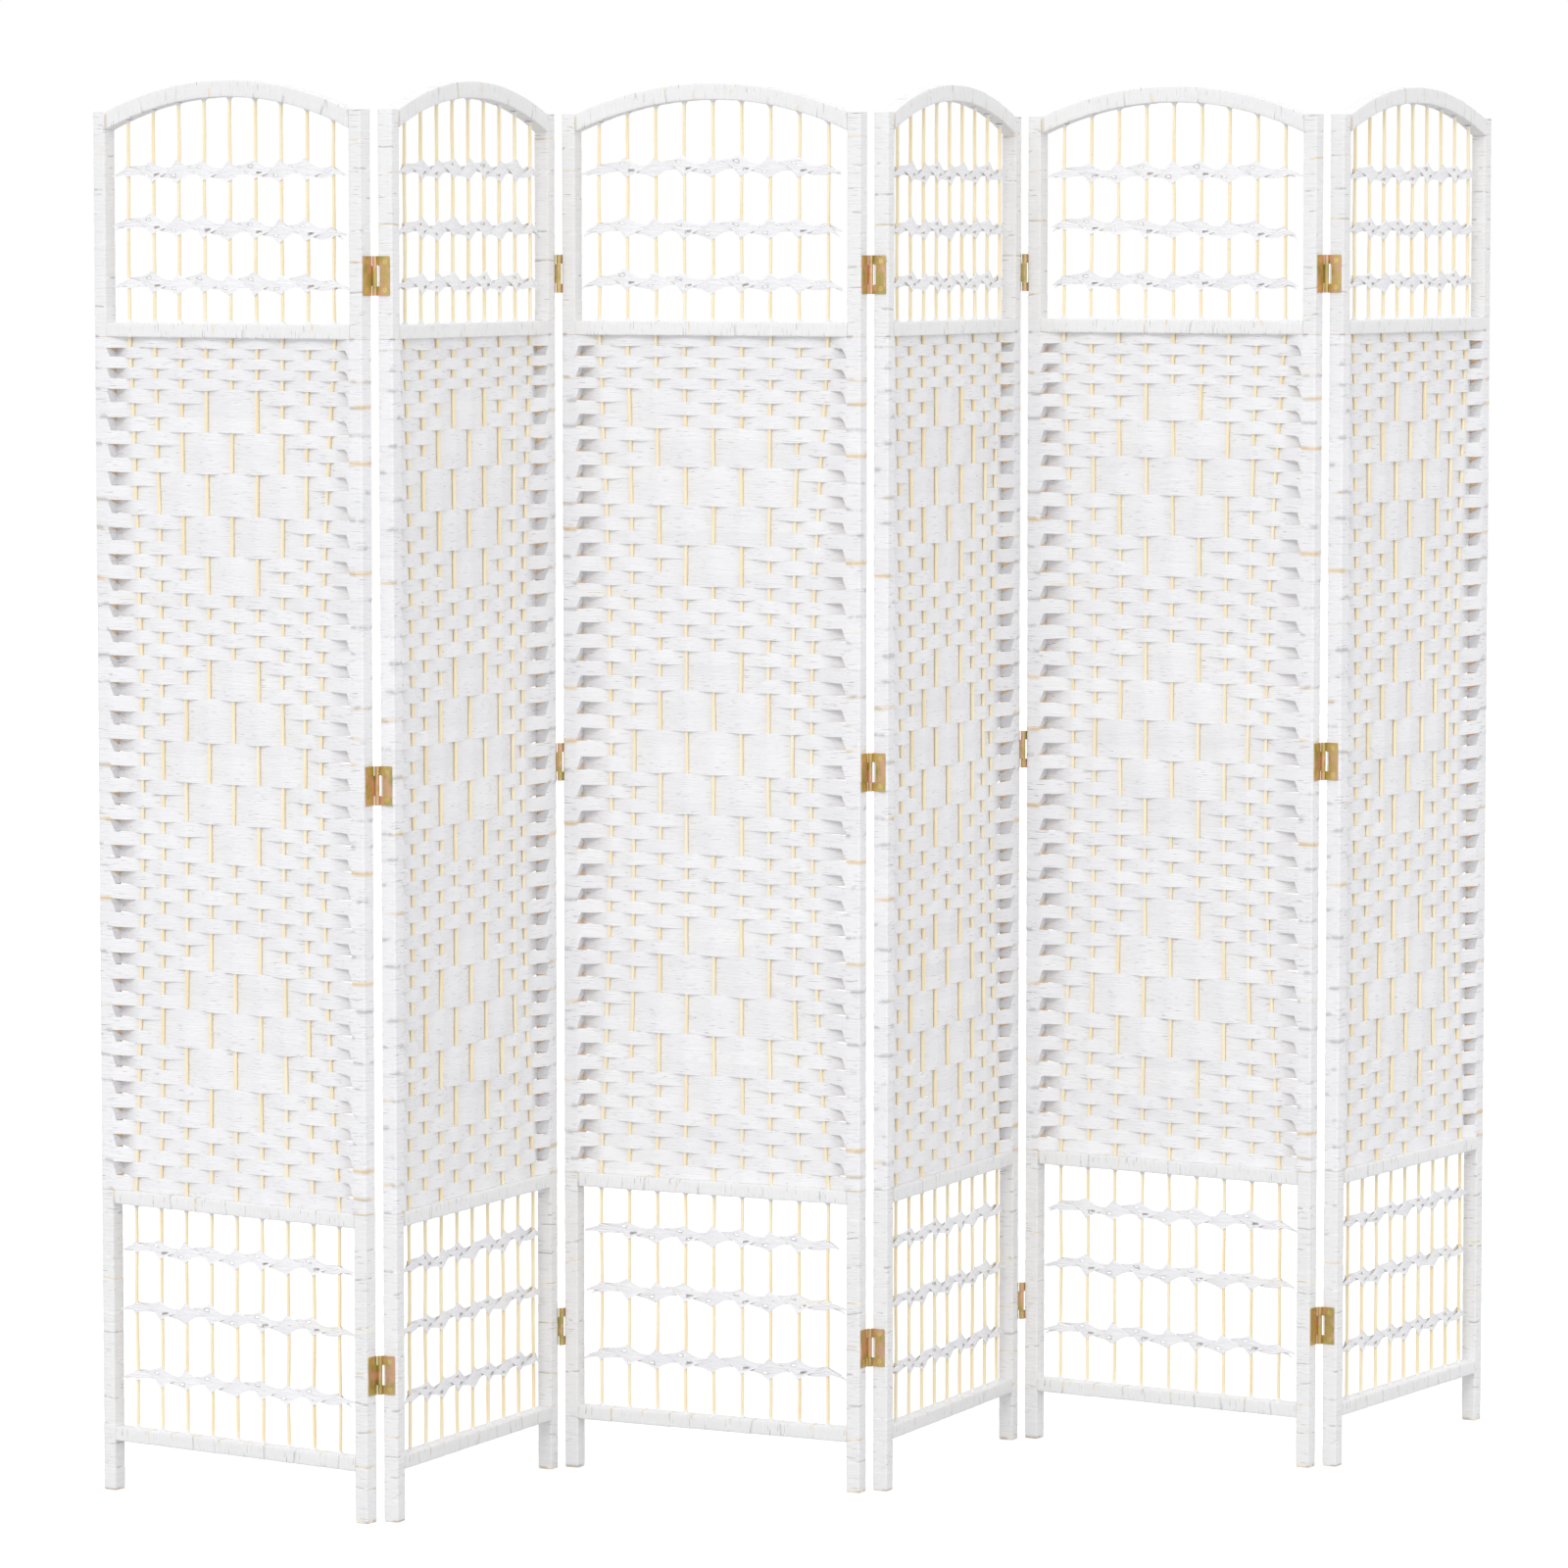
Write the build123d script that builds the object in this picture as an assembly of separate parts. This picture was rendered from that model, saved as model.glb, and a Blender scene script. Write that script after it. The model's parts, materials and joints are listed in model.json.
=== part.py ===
"""Woven paper folding screen: six bow-topped panels, hinged in a zigzag."""

from build123d import *
import math
import os

# Wooden frame of one panel, all sizes in millimetres and degrees
panel_width = 402.0
post_height = 1660.0
post_wood_width = 16.0
frame_wood_depth = 17.0
rail_wood_height = 15.0
arch_wood_height = 18.0
arch_rise = 36.0
leg_height = 61.0
lower_opening = 272.0
weave_height = 1026.0
dowel_radius = 3.0
dowel_reach = 11.0
dowel_clearance = 0.05

# Sticks
stick_pitch = 38.6
stick_side = 3.8
stick_seat = 6.0
stick_clearance = 0.15
# How far the weave draws each stick sideways at mid height, left to right
stick_bows = (15.0, 7.5, 5.0, 2.0, 0.0, -1.0, -3.0, -9.0, -23.0)
bow_spans = 8

# Paper strips and windings
paper_thickness = 0.9
paper_clearance = 0.1
paper_gap = 0.3
bend_room = 0.6
end_bend_room = 0.5
row_count = 65
tight_rows = 5
tight_row_height = 12.3
diamond_first_rows = (7, 27, 47)
diamond_row_step = 3
diamond_reach = (1, 2, 3, 2, 1)

# Twined bands in the open sections
upper_band_rises = (47.0, 112.0, 179.0)
lower_band_drops = (52.0, 125.0, 207.0)
band_tip = 12.5
band_shoulder = 5.5
band_waist = 4.2
band_lap = 3.0
band_waist_half_length = 4.0
band_tail_height = 2.4
band_end = 9.0

# Hinges
hinge_heights = (175.0, 872.0, 1467.0)
leaf_height = 46.0
leaf_width = 15.8
leaf_thickness = 1.2
leaf_corner_radius = 1.5
knuckle_radius = 2.9
knuckle_end_length = 11.0
knuckle_gap = 0.3
pin_radius = 1.3
pin_clearance = 0.05
axis_from_end = 3.0
axis_from_face = 3.0
plain_relief = 3.5
cutout_relief = 6.2
screw_rise = 16.5
screw_inset = 9.5
screw_length = 12.0
screw_radius = 1.4
screw_head_radius = 3.0
screw_clearance = 0.05
recess_width = 0.7
recess_depth = 0.5

# Turn of each panel from the line of the screen, as it stands in the photo
panel_turns = (50.0, 48.0, 42.0, 49.0, 47.5, 42.0)

# Worked-out places of the frame
skin = paper_thickness + paper_clearance
post_width = post_wood_width + 2 * skin
frame_depth = frame_wood_depth + 2 * skin
rail_height = rail_wood_height + 2 * skin
arch_height = arch_wood_height + 2 * skin
bottom_rail_top = leg_height + rail_height
lower_rail_low = bottom_rail_top + lower_opening
weave_bottom = lower_rail_low + rail_height
weave_top = weave_bottom + weave_height
upper_rail_top = weave_top + rail_height
post_wood_top = post_height - skin
wood_inner_left = skin + post_wood_width
wood_inner_right = panel_width - wood_inner_left
arch_half_span = panel_width / 2 - post_width
arch_radius = (arch_half_span ** 2 + arch_rise ** 2) / (2 * arch_rise)
arch_centre_z = post_height + arch_rise - arch_radius
rail_lows = (leg_height, lower_rail_low, weave_top)
loose_row_height = (weave_height - tight_rows * tight_row_height) / (row_count - tight_rows)
weave_swing = stick_side / 2 + paper_gap + paper_thickness / 2 + bend_room
stick_count = len(stick_bows)
first_stick_x = (panel_width - (stick_count - 1) * stick_pitch) / 2
panel_count = len(panel_turns)
top_row_heights = [tight_row_height] * tight_rows
row_heights = top_row_heights + [loose_row_height] * (row_count - tight_rows)


def block(x_range, y_range, z_range):
    """Box between two corners, given as ranges."""
    size = [high - low for low, high in (x_range, y_range, z_range)]
    return Pos(x_range[0], y_range[0], z_range[0]) * Box(*size, align=(Align.MIN,) * 3)


def prism(outline, z_range):
    """Upright prism on a closed plan outline."""
    low, high = z_range
    wire = Polyline(*[(x, y, low) for x, y in outline], close=True)
    return extrude(make_face(wire), amount=high - low, dir=(0, 0, 1))


def elevation(outline, y_range):
    """Prism across the panel on a closed outline seen from the front."""
    near, far = y_range
    wire = Polyline(*[(x, near, z) for x, z in outline], close=True)
    return extrude(make_face(wire), amount=far - near, dir=(0, 1, 0))


def ribbon(path, thickness):
    """Closed plan outline of a strip of even thickness along a path."""
    sides = ([], [])
    for index, (x, y) in enumerate(path):
        normals = []
        for start, end in ((index - 1, index), (index, index + 1)):
            if start >= 0 and end < len(path):
                dx = path[end][0] - path[start][0]
                dy = path[end][1] - path[start][1]
                length = math.hypot(dx, dy)
                normals.append((-dy / length, dx / length))
        nx = sum(n[0] for n in normals)
        ny = sum(n[1] for n in normals)
        stretch = thickness / 2 * len(normals) / (nx * nx + ny * ny)
        sides[0].append((x + nx * stretch, y + ny * stretch))
        sides[1].append((x - nx * stretch, y - ny * stretch))
    return sides[0] + sides[1][::-1]


# Sticks


def stick_x(stick, height):
    """Middle of a stick, counted from 1 at the left, at a height."""
    base = first_stick_x + (stick - 1) * stick_pitch
    share = min(max((height - weave_bottom) / weave_height, 0.0), 1.0)
    span = min(int(share * bow_spans), bow_spans - 1)
    swing = [math.sin(math.pi * step / bow_spans) for step in (span, span + 1)]
    blend = share * bow_spans - span
    return base + stick_bows[stick - 1] * (swing[0] * (1 - blend) + swing[1] * blend)


def arch_z(x, inset):
    """Height of the arch's curve, a distance in from its outer paper."""
    return arch_centre_z + math.sqrt((arch_radius - inset) ** 2 - (x - panel_width / 2) ** 2)


def stick_top(stick):
    """Height of a stick's end inside the arch."""
    return arch_z(stick_x(stick, post_height), arch_height - skin) + stick_seat


def make_stick(stick):
    """One stick: straight in the open sections, bowed in the weave."""
    low = bottom_rail_top - skin - stick_seat
    knots = [weave_bottom + weave_height * step / bow_spans for step in range(bow_spans + 1)]
    heights = [low] + knots + [stick_top(stick)]
    half = stick_side / 2
    left = [(stick_x(stick, z) - half, z) for z in heights]
    right = [(stick_x(stick, z) + half, z) for z in heights]
    return elevation(left + right[::-1], (-half, half))


def stick_holes():
    """Square holes for every stick, through the rails and up into the arch."""
    half = stick_side / 2 + stick_clearance
    holes = []
    for stick in range(1, stick_count + 1):
        x = stick_x(stick, 0)
        top = stick_top(stick) + paper_gap
        low = bottom_rail_top - skin - stick_seat - paper_gap
        holes.append(block((x - half, x + half), (-half, half), (low, top)))
    return holes


# Wooden frame


def dowel_places():
    """Height of every dowel, one at each rail end and one at each arch end."""
    rails = [low + rail_height / 2 for low in rail_lows]
    outer = arch_z(wood_inner_left, skin)
    inner = arch_z(wood_inner_left, arch_height - skin)
    return rails + [(outer + inner) / 2]


def dowel(x_middle, z, radius, half_length):
    """Round dowel lying along the panel."""
    return Pos(x_middle, 0, z) * Rot(0, 90, 0) * Cylinder(radius, 2 * half_length)


def all_dowels(radius, half_length):
    """The dowels at both ends of every rail and of the arch."""
    ends = (wood_inner_left, wood_inner_right)
    return [dowel(x, z, radius, half_length) for x in ends for z in dowel_places()]


def make_posts(screw_holes):
    """Left and right post, with their dowel and screw holes."""
    holes = all_dowels(dowel_radius + dowel_clearance, dowel_reach + paper_gap)
    depth = (-frame_wood_depth / 2, frame_wood_depth / 2)
    posts = []
    for low in (skin, wood_inner_right):
        post = block((low, low + post_wood_width), depth, (0, post_wood_top))
        posts.append(post - holes - screw_holes)
    return posts


def arch_ring(outer_inset, inner_inset, x_range, depth):
    """Part of a flat ring between two insets from the arch's outer curve."""
    outer = Circle(arch_radius - outer_inset)
    inner = Circle(arch_radius - inner_inset)
    ring = Pos(panel_width / 2, arch_centre_z) * (outer - inner)
    width = x_range[1] - x_range[0]
    height = 2 * arch_height + arch_rise
    middle = (x_range[0] + x_range[1]) / 2
    window = Pos(middle, post_height + arch_rise - height / 2) * Rectangle(width, height)
    return extrude(Plane.XZ * (ring & window), amount=depth / 2, both=True)


def make_arch():
    """Bowed top rail between the posts."""
    span = (wood_inner_left, wood_inner_right)
    arch = arch_ring(skin, arch_height - skin, span, frame_wood_depth)
    holes = all_dowels(dowel_radius + dowel_clearance, dowel_reach + paper_gap)
    return [arch - holes - stick_holes()]


def make_rails():
    """Three cross rails, and the dowels that hold the rails and the arch."""
    span = (wood_inner_left, wood_inner_right)
    depth = (-frame_wood_depth / 2, frame_wood_depth / 2)
    holes = all_dowels(dowel_radius + dowel_clearance, dowel_reach + paper_gap) + stick_holes()
    rails = []
    for low in rail_lows:
        rails.append(block(span, depth, (low + skin, low + rail_height - skin)) - holes)
    return rails + all_dowels(dowel_radius, dowel_reach)


# Paper windings


def make_wraps(screw_holes):
    """Paper sleeves on the arch, the rails and the bare lengths of the posts."""
    core = frame_wood_depth + 2 * paper_clearance
    outer_y = (-frame_depth / 2, frame_depth / 2)
    core_y = (-core / 2, core / 2)
    rail_cores = []
    rail_sleeves = []
    between_posts = (post_width + paper_clearance, panel_width - post_width - paper_clearance)
    for low in rail_lows:
        wood = (low + paper_thickness, low + rail_height - paper_thickness)
        rail_core = block((wood_inner_left, wood_inner_right), core_y, wood)
        rail_cores.append(rail_core)
        rail_sleeves.append(block(between_posts, outer_y, (low, low + rail_height)) - rail_core)
    arch_core = arch_ring(paper_thickness, arch_height - paper_thickness,
                          (wood_inner_left, wood_inner_right), core)
    arch_sleeve = arch_ring(0, arch_height, between_posts, frame_depth) - arch_core
    post_sleeves = []
    for low in (0, panel_width - post_width):
        wood_x = (low + paper_thickness, low + post_width - paper_thickness)
        paper_x = (low, low + post_width)
        feet = block(paper_x, outer_y, (paper_thickness, weave_bottom - paper_gap))
        feet -= block(wood_x, core_y, (0, weave_bottom))
        head = block(paper_x, outer_y, (weave_top + paper_gap, post_height))
        head -= block(wood_x, core_y, (weave_top, post_height - paper_thickness))
        for sleeve in (feet, head):
            post_sleeves.append(sleeve - rail_cores - arch_core - screw_holes)
    holes = stick_holes()
    return [sleeve - holes for sleeve in rail_sleeves + [arch_sleeve]] + post_sleeves


# Woven strips


def stick_shows(row, stick):
    """True where the strip of a row passes behind a stick, or behind a post."""
    shows = (row + stick) % 2 == 0
    from_middle = abs(stick - (stick_count + 1) // 2)
    for first in diamond_first_rows:
        for step, reach in enumerate(diamond_reach):
            if row == first + step * diamond_row_step and from_middle <= reach:
                shows = not shows
    return shows


def row_top(row):
    """Height of a row's upper edge, rows counted down from 1."""
    return weave_top - sum(row_heights[:row - 1])


def row_middle(row):
    """Height of a row's middle."""
    return row_top(row) - row_heights[row - 1] / 2


def tab_range(row):
    """Heights between which a strip covers the posts: about two rows."""
    top = weave_top if row <= 2 else row_middle(row - 1)
    low = weave_bottom if row >= row_count - 1 else row_middle(row + 1)
    return (low + paper_gap / 2, top - paper_gap / 2)


def tab_path(row):
    """Plan path of a strip round the left post, out from the weave to its end."""
    on_wood = paper_clearance + paper_thickness / 2
    face_y = frame_wood_depth / 2 + on_wood
    side = -1 if row % 2 else 1
    bend = (wood_inner_left + on_wood, side * face_y)
    if side > 0:
        return [bend, (skin + paper_gap, face_y)]
    end_x = skin - on_wood
    return [bend, (end_x, -face_y), (end_x, frame_wood_depth / 2)]


def mirrored(path):
    """The same plan path at the right end of the panel."""
    return [(panel_width - x, y) for x, y in path]


def make_strip(row):
    """One strip: over and under the sticks, and round both posts."""
    tab = tab_path(row)
    middle = row_middle(row)
    weaving = []
    for stick in range(1, stick_count + 1):
        swing = weave_swing + (end_bend_room if stick in (1, stick_count) else 0)
        behind = stick_shows(row, stick)
        weaving.append((stick_x(stick, middle), swing if behind else -swing))
    path = tab[::-1] + weaving + mirrored(tab)
    low = row_top(row) - row_heights[row - 1]
    strip = prism(ribbon(path, paper_thickness), (low + paper_gap / 2, row_top(row) - paper_gap / 2))
    for end in (tab, mirrored(tab)):
        strip += prism(ribbon(end, paper_thickness), tab_range(row))
    return strip


# Twined bands


def band_strand(upper):
    """One of the two strips that twine along a band, at height zero."""
    sticks = [stick_x(stick, 0) for stick in range(1, stick_count + 1)]
    plan = []
    for index, x in enumerate(sticks):
        in_front = (index % 2 == 1) == upper
        plan.append((x, -weave_swing if in_front else weave_swing))
    tail_left = post_width + paper_gap
    tail_right = panel_width - post_width - paper_gap
    left_end = tail_left if upper else sticks[0] - band_end
    right_end = sticks[-1] + band_end if upper else tail_right
    plan = [(left_end, 0)] + plan + [(right_end, 0)]
    edge = [(left_end, band_tail_height / 2)]
    lap = [(left_end, -band_tail_height / 2)]
    for index, x in enumerate(sticks):
        edge += [(x - band_end, band_shoulder), (x, band_tip), (x + band_end, band_shoulder)]
        lap.append((x, -band_lap))
        if index < stick_count - 1:
            waist = x + stick_pitch / 2
            edge.append((waist, band_waist))
            lap.append((waist - band_waist_half_length, paper_gap / 2))
            lap.append((waist + band_waist_half_length, paper_gap / 2))
    edge = edge[1:] if not upper else edge
    edge = edge[:-1] if upper else edge
    edge.append((right_end, band_tail_height / 2))
    lap.append((right_end, -band_tail_height / 2))
    outline = edge + lap[::-1]
    if not upper:
        outline = [(x, -z) for x, z in outline]
    deep = 2 * weave_swing
    strand = elevation(outline, (-deep, deep))
    return strand & prism(ribbon(plan, paper_thickness), (-2 * band_tip, 2 * band_tip))


def make_bands():
    """Three twined bands above the weave and three below it."""
    heights = [upper_rail_top + rise for rise in upper_band_rises]
    heights += [lower_rail_low - drop for drop in lower_band_drops]
    strands = [band_strand(True), band_strand(False)]
    return [Pos(0, 0, z) * strand for z in heights for strand in strands]


# Hinges, made about their axis, with the leaf at the left and its post in front


def screw_places():
    """Middle of each screw head on a leaf: across the leaf, and height."""
    y = -axis_from_face - screw_inset
    return [(y, -screw_rise), (y, screw_rise)]


def screw_body(y, z, clearance):
    """Countersunk screw pointing into the post, larger by a clearance."""
    leaf_out = leaf_thickness - axis_from_end
    head = Cone(screw_radius + clearance, screw_head_radius + clearance, leaf_thickness)
    shank = Cylinder(screw_radius + clearance, screw_length)
    seat = Pos(leaf_out - leaf_thickness / 2, y, z) * Rot(0, 90, 0) * head
    return seat + Pos(-axis_from_end - screw_length / 2, y, z) * Rot(0, 90, 0) * shank


def make_screws():
    """The two screws of a leaf, each with a cross recess."""
    screws = []
    outer = leaf_thickness - axis_from_end
    long_side = screw_head_radius
    for y, z in screw_places():
        screw = screw_body(y, z, 0)
        for dy, dz in ((long_side, recess_width), (recess_width, long_side)):
            across = (y - dy / 2, y + dy / 2)
            upright = (z - dz / 2, z + dz / 2)
            screw -= block((outer - recess_depth, outer + recess_depth), across, upright)
        screws.append(screw)
    return screws


def make_leaf(has_centre_knuckle):
    """Leaf with the centre knuckle, or with the two end knuckles."""
    half = leaf_height / 2
    centre_half = half - knuckle_end_length
    centre = [(-centre_half, centre_half)]
    ends = [(-half, -centre_half), (centre_half, half)]
    own, other = (centre, ends) if has_centre_knuckle else (ends, centre)
    relief = plain_relief if has_centre_knuckle else cutout_relief
    plate_x = (-axis_from_end, leaf_thickness - axis_from_end)
    plate_y = (-axis_from_face - leaf_width, 0)
    plate = block(plate_x, plate_y, (-half, half))
    corners = plate.edges().filter_by(Axis.X).group_by(Axis.Y)[0]
    leaf = fillet(corners, leaf_corner_radius)
    for low, high in own:
        trim = (low + knuckle_gap / 2 if low > -half else low, high - knuckle_gap / 2 if high < half else high)
        middle = (trim[0] + trim[1]) / 2
        leaf += Pos(0, 0, middle) * Cylinder(knuckle_radius, trim[1] - trim[0])
    for low, high in other:
        free = (low - knuckle_gap / 2, high + knuckle_gap / 2)
        leaf -= block((-knuckle_radius - 1, knuckle_radius), (-relief, knuckle_radius), free)
    leaf -= Cylinder(pin_radius + pin_clearance, 2 * leaf_height)
    return leaf - [screw_body(y, z, screw_clearance) for y, z in screw_places()]


def hinge_location(at_right, side, height):
    """Place of a hinge axis in a panel's own frame."""
    x = panel_width + axis_from_end if at_right else -axis_from_end
    return Pos(x, side * (frame_depth / 2 + axis_from_face), height)


def at_hinge(piece, at_right, side, height):
    """A leaf or screw turned to its panel end and face, and put in its place."""
    if not at_right:
        piece = piece.mirror(Plane.YZ)
    if side < 0:
        piece = piece.mirror(Plane.XZ)
    return hinge_location(at_right, side, height) * piece


def hinge_ends(panel):
    """Which ends of a panel are hinged, and on which face: 1 is the back."""
    ends = []
    if panel > 0:
        ends.append((False, 1 if panel % 2 else -1))
    if panel < panel_count - 1:
        ends.append((True, -1 if panel % 2 else 1))
    return ends


# Standing zigzag


def end_place(origin, angle, x, y):
    """Floor position of a point in a panel's own plan."""
    turn = math.radians(angle)
    dx = x * math.cos(turn) - y * math.sin(turn)
    dy = x * math.sin(turn) + y * math.cos(turn)
    return (origin[0] + dx, origin[1] + dy)


def panel_places():
    """Left end and angle of each panel, and the hinge axes between them."""
    angles = [turn if index % 2 else -turn for index, turn in enumerate(panel_turns)]
    reach = frame_depth / 2 + axis_from_face
    origins = [(0.0, 0.0)]
    axes = []
    for index in range(1, panel_count):
        side = 1 if index % 2 else -1
        before = angles[index - 1]
        axis = end_place(origins[-1], before, panel_width + axis_from_end, side * reach)
        axes.append(axis)
        origins.append(end_place(axis, angles[index], axis_from_end, -side * reach))
    corners = []
    for origin, angle in zip(origins, angles):
        for x in (0, panel_width):
            for y in (-frame_depth / 2, frame_depth / 2):
                corners.append(end_place(origin, angle, x, y))
    shift = [-(min(c[n] for c in corners) + max(c[n] for c in corners)) / 2 for n in (0, 1)]
    moved = [(x + shift[0], y + shift[1]) for x, y in origins]
    axes = [(x + shift[0], y + shift[1]) for x, y in axes]
    return list(zip(moved, angles)), axes


def write_node(name, pieces, place):
    """Write one node: its pieces, each a separate solid, at their place."""
    solids = [solid.moved(place) for piece in pieces for solid in piece.solids()]
    node = Compound(children=solids, label=name)
    export_step(node, f"parts/{name}.step", write_pcurves=False)


def main():
    """Build one panel's pieces and place them for every panel."""
    os.makedirs("parts", exist_ok=True)
    strips = [make_strip(row) for row in range(1, row_count + 1)]
    sticks = [make_stick(stick) for stick in range(1, stick_count + 1)]
    arch = make_arch()
    rails = make_rails()
    bands = make_bands()
    screws = make_screws()
    pin = Cylinder(pin_radius, leaf_height)
    places, axes = panel_places()
    for panel, (origin, angle) in enumerate(places):
        place = Location((origin[0], origin[1], 0), (0, 0, angle))
        number = panel + 1
        leaves = []
        screw_set = []
        screw_holes = []
        paper_holes = []
        for at_right, side in hinge_ends(panel):
            leaf = make_leaf(at_right)
            for height in hinge_heights:
                leaves.append(at_hinge(leaf, at_right, side, height))
                screw_set += [at_hinge(screw, at_right, side, height) for screw in screws]
                for y, z in screw_places():
                    body = screw_body(y, z, screw_clearance)
                    screw_holes.append(at_hinge(body, at_right, side, height))
                    half = screw_radius + screw_clearance
                    punched = block((-axis_from_end - skin - paper_gap, -axis_from_end),
                                    (y - half, y + half), (z - half, z + half))
                    paper_holes.append(at_hinge(punched, at_right, side, height))
        weave = []
        for row, strip in enumerate(strips, start=1):
            low, high = tab_range(row)
            near = [hole for hole in paper_holes
                    if hole.bounding_box().max.Z > low and hole.bounding_box().min.Z < high]
            weave.append(strip - near if near and row % 2 else strip)
        write_node(f"posts_{number}", make_posts(screw_holes), place)
        write_node(f"arch_{number}", arch, place)
        write_node(f"rails_{number}", rails, place)
        write_node(f"sticks_{number}", sticks, place)
        write_node(f"wraps_{number}", make_wraps(screw_holes), place)
        write_node(f"weave_{number}", weave, place)
        write_node(f"bands_{number}", bands, place)
        write_node(f"hinge_leaves_{number}", leaves, place)
        write_node(f"hinge_screws_{number}", screw_set, place)
    for joint, (x, y) in enumerate(axes, start=1):
        pins = [Pos(0, 0, height) * pin for height in hinge_heights]
        write_node(f"hinge_pins_{joint}_{joint + 1}", pins, Location((x, y, 0)))
        print(f"hinge axis {joint}: x {x:.3f} y {y:.3f}")


main()
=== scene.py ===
"""Looks of the woven paper folding screen: paper, sticks, wood and plated hinges, with its studio."""

import json
import math

import bpy
import numpy as np
from mathutils import Matrix, Vector


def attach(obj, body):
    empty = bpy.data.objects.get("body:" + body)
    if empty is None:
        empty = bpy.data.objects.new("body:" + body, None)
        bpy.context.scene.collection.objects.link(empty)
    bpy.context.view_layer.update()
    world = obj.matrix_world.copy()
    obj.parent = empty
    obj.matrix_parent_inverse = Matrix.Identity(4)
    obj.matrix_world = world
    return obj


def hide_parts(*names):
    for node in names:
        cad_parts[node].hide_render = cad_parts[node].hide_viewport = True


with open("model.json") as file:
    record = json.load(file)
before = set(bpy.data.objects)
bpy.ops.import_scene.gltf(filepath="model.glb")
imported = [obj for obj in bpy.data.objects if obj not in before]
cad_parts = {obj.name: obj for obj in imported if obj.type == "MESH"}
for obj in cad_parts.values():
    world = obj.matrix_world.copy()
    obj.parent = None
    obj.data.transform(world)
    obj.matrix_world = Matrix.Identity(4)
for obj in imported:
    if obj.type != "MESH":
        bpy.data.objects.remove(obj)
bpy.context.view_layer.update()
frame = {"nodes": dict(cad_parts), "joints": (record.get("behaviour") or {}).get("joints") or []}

# Sizes of one panel in millimetres, in its own frame: x along it, y to its back, z up
panel_width = 402.0
frame_depth = 19.0
post_width = 18.0
post_height = 1660.0
rail_height = 17.0
arch_height = 20.0
arch_rise = 36.0
leg_height = 61.0
lower_opening = 272.0
weave_height = 1026.0
axis_from_end = 3.0
axis_from_face = 3.0
panel_turns = (50.0, 48.0, 42.0, 49.0, 47.5, 42.0)

# Sticks
stick_count = 9
stick_pitch = 38.6
stick_radius = 1.9
stick_seat = 5.0
stick_sides = 10
stick_stations = 130
# Length at each end of a stick where its waves fade out
stick_fade = 40.0
stick_bows = (15.0, 7.5, 5.0, 2.0, 0.0, -1.0, -3.0, -9.0, -23.0)

# Woven strips
sheet = 0.6
row_count = 65
tight_rows = 5
tight_row_height = 12.3
weave_swing = 2.7
span_steps = 7
span_straight = 0.8
float_sag = 0.3
edge_tilt = 0.35
tab_tilt = 0.7
edge_lap = 0.25
front_lap = 0.2
front_bulge = 0.3
border_stations = 81
border_wave = 0.55
crease_size = 0.12
# Seam mark at strip edges inside the weave, below where the paper paints shade
edge_seam = 0.3
rail_gap = 0.1
diamond_first_rows = (7, 27, 47)
diamond_row_step = 3
diamond_reach = (1, 2, 3, 2, 1)
# A slip in the weave: panel, row, first and last stick
slip = (3, 7, 2, 6)
# Strips on the posts: places along a tab from the post's end face, and its bend round the corner
tab_places = (1.2, 4, 9, 13, 16, 17.2)
tab_inner = 17.8
tab_corner = 1.5
tab_gap = 0.1
tab_end_reach = (8.4, -5.0)
# Length over which the strips spread at the left and right post of each panel: upwards if above 0
tab_spreads = ((3, -6), (9, 2.5), (-3, -6), (9, 2.5), (-3, -6), (9, 2.5))
# Paper on the inner side of a post, and how much of it stays bare at the back of each row
liner_gap = 0.35
liner_half = 8.6
liner_bare = 8.0
liner_thickness = 0.3

# Paper windings: pitch of the turns, and the most that their edges lean
post_pitch, post_lean = 31.0, 0.16
rail_pitch, rail_lean = 38.0, 0.2
arch_pitch, arch_lean = 52.0, 0.12
# Rings along one turn, its step to the next, and how much thicker it is at the overlap
turn_shares = (0.0, 0.04, 0.2, 0.4, 0.6, 0.8, 0.95, 1.0)
turn_step = 0.25
turn_lift = 0.35
# Where the windings end: over the floor, at the weave, inside the posts, and on the arch
foot_bare = 1.0
end_gap = 0.2
bar_seat = 0.1
arch_end_blend = 25.0
# Gathered paper round a stick: height over the rail and radius
collar_rings = ((-0.6, 5.4), (0.25, 4.6), (1.3, 3.1), (2.8, 2.3), (3.9, 2.05))
collar_sides = 12

# Twined bands in the open sections
upper_band_rises = (47.0, 112.0, 179.0)
lower_band_drops = (52.0, 125.0, 207.0)
band_tip = 13.5
band_low_tip = 12.0
band_end_tip = 6.5
band_back_tip = 3.5
band_waist = 3.2
band_cross = 2.6
band_sway = 2.0
band_thickness = 0.45
band_steps = 12
band_tail_steps = 6
band_tails = (12, 26)
band_pleat = 0.55
band_pleat_turns = 3.1
# Bands set one by one: fall to the right, and rise of the middle, by panel and band
band_falls = {(1, 2): 13.0, (5, 2): 11.0, (3, 3): 3.0, (6, 1): -4.0}
band_rises = {(3, 1): 8.0, (2, 1): 3.0, (5, 1): 2.0}

# Worked-out places
bottom_rail_top = leg_height + rail_height
lower_rail_low = bottom_rail_top + lower_opening
weave_bottom = lower_rail_low + rail_height
weave_top = weave_bottom + weave_height
upper_rail_top = weave_top + rail_height
rail_lows = (leg_height, lower_rail_low, weave_top)
arch_half_span = panel_width / 2 - post_width
arch_radius = (arch_half_span ** 2 + arch_rise ** 2) / (2 * arch_rise)
arch_centre_z = post_height + arch_rise - arch_radius
loose_row_height = (weave_height - tight_rows * tight_row_height) / (row_count - tight_rows)
first_stick_x = (panel_width - (stick_count - 1) * stick_pitch) / 2
face_y = frame_depth / 2
mm = 0.001


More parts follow.
